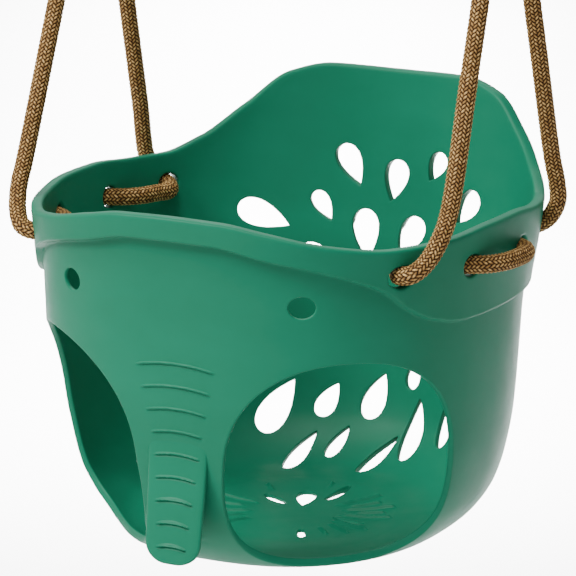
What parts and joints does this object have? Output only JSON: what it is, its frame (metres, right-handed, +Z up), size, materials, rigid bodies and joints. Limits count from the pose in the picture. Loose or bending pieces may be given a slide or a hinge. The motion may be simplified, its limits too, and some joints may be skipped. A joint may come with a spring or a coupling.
{
  "type": "toddler bucket swing",
  "caption": "Moulded full-bucket toddler swing seat with leg holes and a trunk-shaped front, hung on woven-through braided ropes with thimbles, ferrules and quick links.",
  "frame": {"origin": "midway between the two hang points, the inner tops of the quick links' upper bows", "axes": "+X along the swing axis (right as seen from the front), +Z up, the front of the seat faces -Y"},
  "size_m": [0.3502, 0.3407, 0.591],
  "materials": {
    "green_plastic": "satin moulded, slight sheen",
    "tan_rope": "braided, matte",
    "black_steel": "glossy black coating",
    "zinc_steel": "zinc plated"
  },
  "bodies": {
    "hanger_links": {"quick_link_left": "black_steel", "quick_link_right": "black_steel"},
    "swing": {"bucket_seat": "green_plastic", "rope_left": "tan_rope", "rope_right": "tan_rope", "thimble_left": "zinc_steel", "thimble_right": "zinc_steel", "ferrule_left": "zinc_steel", "ferrule_right": "zinc_steel"},
    "sleeve_left": {"sleeve_nut_left": "black_steel"},
    "sleeve_right": {"sleeve_nut_right": "black_steel"}
  },
  "joints": [
    {"name": "swing_pivot", "type": "hinge", "parent": "hanger_links", "child": "swing", "pos_m": [0, 0, -0.05], "axis": [1, 0, 0], "range_deg": [-45, 45]},
    {"name": "nut_left_open", "type": "slide", "parent": "hanger_links", "child": "sleeve_left", "axis": [0, 0, -1], "range_m": [0, 0.008]},
    {"name": "nut_right_open", "type": "slide", "parent": "hanger_links", "child": "sleeve_right", "axis": [0, 0, -1], "range_m": [0, 0.008]}
  ]
}
